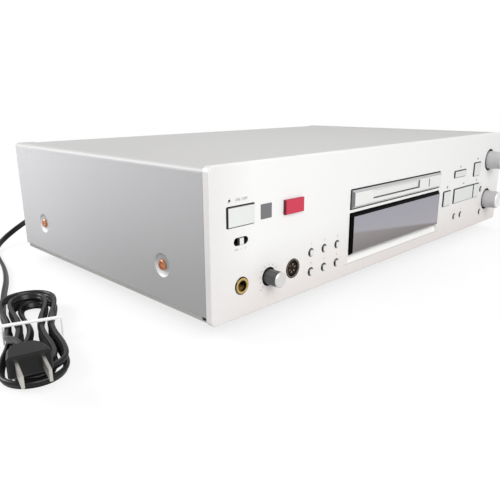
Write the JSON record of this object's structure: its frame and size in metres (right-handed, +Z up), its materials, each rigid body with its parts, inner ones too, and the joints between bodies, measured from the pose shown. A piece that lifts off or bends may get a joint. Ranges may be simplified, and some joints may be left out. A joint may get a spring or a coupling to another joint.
{
  "type": "minidisc deck",
  "caption": "Full-width hi-fi disc deck: silver faceplate with slot door, smoked display, keys and knobs, folded grey steel cover, loader with lowering holder, and bundled mains cord",
  "frame": {"origin": "on the floor under the middle of the deck's bounding box, measured without its mains cord", "axes": "+X to the right as seen from the front, +Y from the front to the rear, +Z up; the faceplate faces -Y"},
  "size_m": [0.5414, 0.3472, 0.1075],
  "materials": {
    "faceplate": "fine silver paint",
    "keys": "silver plastic, smooth",
    "knobs": "silver plastic with fine ribs",
    "bezel": "silver plastic",
    "window": "smoked acrylic, polished",
    "sensor": "dark smoked plastic",
    "badge": "red plastic, left plain",
    "lamp": "red lens",
    "cover": "fine textured grey paint on steel",
    "tray": "plated steel sheet",
    "foot": "black moulded plastic",
    "copper_screws": "copper plated steel",
    "jack_gold": "gold plated ring",
    "sockets": "black plastic",
    "phono": "plated sleeves",
    "boards": "green board with parts on it",
    "transformer": "varnished laminations",
    "tube": "display tube glass",
    "controls": "plated control bodies",
    "ground_rods": "ground steel",
    "turntable_metal": "turned",
    "sled_body": "black carrier with a clear lens",
    "cord_cover": "black two-core cord cover",
    "tie": "white plastic tie",
    "plug": "black moulded plug with two bare blades"
  },
  "bodies": {
    "chassis": {"chassis_pan": "tray", "rear_panel": "tray", "top_cover": "cover", "front_panel": "faceplate", "display_window": "window", "slot_bezel": "bezel", "sensor_window": "sensor", "badge_plate": "badge", "standby_lamp": "lamp", "headphone_jack": "jack_gold", "keyboard_socket": "sockets", "feet": "foot", "cover_screws": "copper_screws", "rear_screws": "copper_screws", "line_jacks": "phono", "optical_sockets": "sockets", "cord_bushing": "sockets", "main_board": "boards", "power_transformer": "transformer", "display_board": "boards", "display_tube": "tube", "timer_switch": "sockets", "level_pot": "controls", "jog_encoder": "controls", "rec_level_pot": "controls", "loader_chassis": "tray", "spindle_motor": "controls", "guide_rods": "ground_rods", "cord_lead": "cord_cover", "cord_hank": "cord_cover", "cord_tail": "cord_cover", "cord_tie": "tie", "mains_plug": "plug"},
    "slot_door": {"slot_door": "bezel"},
    "power_button": {"power_button": "keys"},
    "left_button_1": {"left_button_1": "keys"},
    "left_button_2": {"left_button_2": "keys"},
    "left_button_3": {"left_button_3": "keys"},
    "left_button_4": {"left_button_4": "keys"},
    "left_button_5": {"left_button_5": "keys"},
    "left_button_6": {"left_button_6": "keys"},
    "eject_button": {"eject_button": "keys"},
    "record_button": {"record_button": "keys"},
    "stop_button": {"stop_button": "keys"},
    "play_button": {"play_button": "keys"},
    "pause_button": {"pause_button": "keys"},
    "round_button_1": {"round_button_1": "keys"},
    "round_button_2": {"round_button_2": "keys"},
    "round_button_3": {"round_button_3": "keys"},
    "round_button_4": {"round_button_4": "keys"},
    "timer_slider": {"timer_slider": "sockets"},
    "level_knob": {"level_knob": "knobs"},
    "rec_level_knob": {"rec_level_knob": "knobs"},
    "jog_plunger": {"jog_plunger": "controls"},
    "jog_knob": {"jog_knob": "knobs"},
    "turntable": {"turntable": "turntable_metal"},
    "pickup_sled": {"pickup_sled": "sled_body"},
    "feed_screw": {"feed_screw": "ground_rods"},
    "cam_slide": {"cam_slide": "tray"},
    "cartridge_holder": {"cartridge_holder": "tray"}
  },
  "joints": [
    {"name": "door_swing", "type": "hinge", "parent": "chassis", "child": "slot_door", "pos_m": [-0.0112, -0.1286, 0.0742], "axis": [1, 0, 0], "range_deg": [0, 85]},
    {"name": "power_press", "type": "slide", "parent": "chassis", "child": "power_button", "axis": [0, 1, 0], "range_m": [0, 0.0012], "stiffness_N_per_m": 400},
    {"name": "left_press_1", "type": "slide", "parent": "chassis", "child": "left_button_1", "axis": [0, 1, 0], "range_m": [0, 0.0012], "stiffness_N_per_m": 400},
    {"name": "left_press_2", "type": "slide", "parent": "chassis", "child": "left_button_2", "axis": [0, 1, 0], "range_m": [0, 0.0012], "stiffness_N_per_m": 400},
    {"name": "left_press_3", "type": "slide", "parent": "chassis", "child": "left_button_3", "axis": [0, 1, 0], "range_m": [0, 0.0012], "stiffness_N_per_m": 400},
    {"name": "left_press_4", "type": "slide", "parent": "chassis", "child": "left_button_4", "axis": [0, 1, 0], "range_m": [0, 0.0012], "stiffness_N_per_m": 400},
    {"name": "left_press_5", "type": "slide", "parent": "chassis", "child": "left_button_5", "axis": [0, 1, 0], "range_m": [0, 0.0012], "stiffness_N_per_m": 400},
    {"name": "left_press_6", "type": "slide", "parent": "chassis", "child": "left_button_6", "axis": [0, 1, 0], "range_m": [0, 0.0012], "stiffness_N_per_m": 400},
    {"name": "eject_press", "type": "slide", "parent": "chassis", "child": "eject_button", "axis": [0, 1, 0], "range_m": [0, 0.0012], "stiffness_N_per_m": 400},
    {"name": "record_press", "type": "slide", "parent": "chassis", "child": "record_button", "axis": [0, 1, 0], "range_m": [0, 0.0012], "stiffness_N_per_m": 400},
    {"name": "stop_press", "type": "slide", "parent": "chassis", "child": "stop_button", "axis": [0, 1, 0], "range_m": [0, 0.0012], "stiffness_N_per_m": 400},
    {"name": "play_press", "type": "slide", "parent": "chassis", "child": "play_button", "axis": [0, 1, 0], "range_m": [0, 0.0012], "stiffness_N_per_m": 400},
    {"name": "pause_press", "type": "slide", "parent": "chassis", "child": "pause_button", "axis": [0, 1, 0], "range_m": [0, 0.0012], "stiffness_N_per_m": 400},
    {"name": "round_press_1", "type": "slide", "parent": "chassis", "child": "round_button_1", "axis": [0, 1, 0], "range_m": [0, 0.0012], "stiffness_N_per_m": 400},
    {"name": "round_press_2", "type": "slide", "parent": "chassis", "child": "round_button_2", "axis": [0, 1, 0], "range_m": [0, 0.0012], "stiffness_N_per_m": 400},
    {"name": "round_press_3", "type": "slide", "parent": "chassis", "child": "round_button_3", "axis": [0, 1, 0], "range_m": [0, 0.0012], "stiffness_N_per_m": 400},
    {"name": "round_press_4", "type": "slide", "parent": "chassis", "child": "round_button_4", "axis": [0, 1, 0], "range_m": [0, 0.0012], "stiffness_N_per_m": 400},
    {"name": "timer_slide", "type": "slide", "parent": "chassis", "child": "timer_slider", "axis": [1, 0, 0], "range_m": [-0.003, 0.003]},
    {"name": "level_turn", "type": "hinge", "parent": "chassis", "child": "level_knob", "pos_m": [-0.1653, -0.128, 0.032], "axis": [0, 1, 0], "range_deg": [-150, 150]},
    {"name": "rec_level_turn", "type": "hinge", "parent": "chassis", "child": "rec_level_knob", "pos_m": [0.1845, -0.128, 0.037], "axis": [0, 1, 0], "range_deg": [-150, 150]},
    {"name": "jog_push", "type": "slide", "parent": "chassis", "child": "jog_plunger", "axis": [0, 1, 0], "range_m": [0, 0.001], "stiffness_N_per_m": 600},
    {"name": "jog_turn", "type": "hinge", "parent": "jog_plunger", "child": "jog_knob", "pos_m": [0.183, -0.128, 0.0795], "axis": [0, 1, 0], "continuous": true},
    {"name": "turntable_spin", "type": "hinge", "parent": "chassis", "child": "turntable", "pos_m": [-0.0112, -0.082, 0.0592], "axis": [0, 0, 1], "continuous": true},
    {"name": "sled_slide", "type": "slide", "parent": "chassis", "child": "pickup_sled", "axis": [0, 1, 0], "range_m": [0, 0.02]},
    {"name": "feed_screw_turn", "type": "hinge", "parent": "chassis", "child": "feed_screw", "pos_m": [0.0218, -0.068, 0.0552], "axis": [0, 1, 0], "range_deg": [-10, 2410]},
    {"name": "cam_run", "type": "slide", "parent": "chassis", "child": "cam_slide", "axis": [0, 1, 0], "range_m": [0, 0.012]},
    {"name": "holder_lower", "type": "slide", "parent": "chassis", "child": "cartridge_holder", "axis": [0, 0, -1], "range_m": [0, 0.004]}
  ],
  "couplings": [
    {"joint": "feed_screw_turn", "follows": "sled_slide", "rad_per_m": 2094.4},
    {"joint": "holder_lower", "follows": "cam_run", "ratio": 0.33333}
  ]
}
